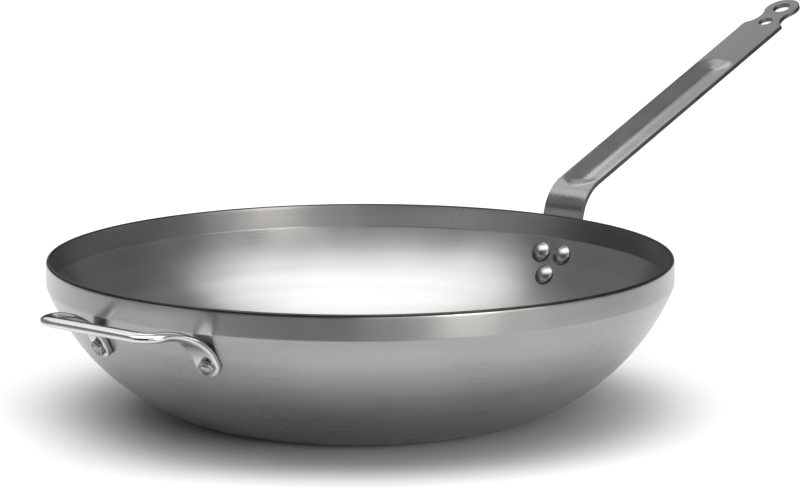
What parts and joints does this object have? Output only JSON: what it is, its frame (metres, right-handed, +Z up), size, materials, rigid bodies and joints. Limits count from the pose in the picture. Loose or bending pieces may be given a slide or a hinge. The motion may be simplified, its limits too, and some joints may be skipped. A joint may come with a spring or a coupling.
{
  "type": "wok",
  "caption": "Flat-bottomed carbon steel wok with a long strip handle ending in a hanging eye, and a bail helper handle opposite, all riveted to the bowl.",
  "frame": {"origin": "centre of the flat base's underside, on the bowl's axis", "axes": "+Z up along the bowl's axis, +X from the bowl's axis towards the long handle, +Y level and square to both, a quarter turn anticlockwise from +X seen from above"},
  "size_m": [0.7133, 0.4, 0.2263],
  "materials": {
    "carbon_steel_sheet": "satin grey carbon steel with faint spun bands",
    "handle_steel": "darker semi-gloss steel strip",
    "helper_steel": "polished",
    "rivet_steel": "polished"
  },
  "bodies": {
    "root": {"bowl": "carbon_steel_sheet", "long_handle": "handle_steel", "handle_rivet_left": "rivet_steel", "handle_rivet_right": "rivet_steel", "handle_rivet_lower": "rivet_steel", "helper_handle": "helper_steel", "helper_rivet_left": "rivet_steel", "helper_rivet_right": "rivet_steel"}
  },
  "joints": []
}
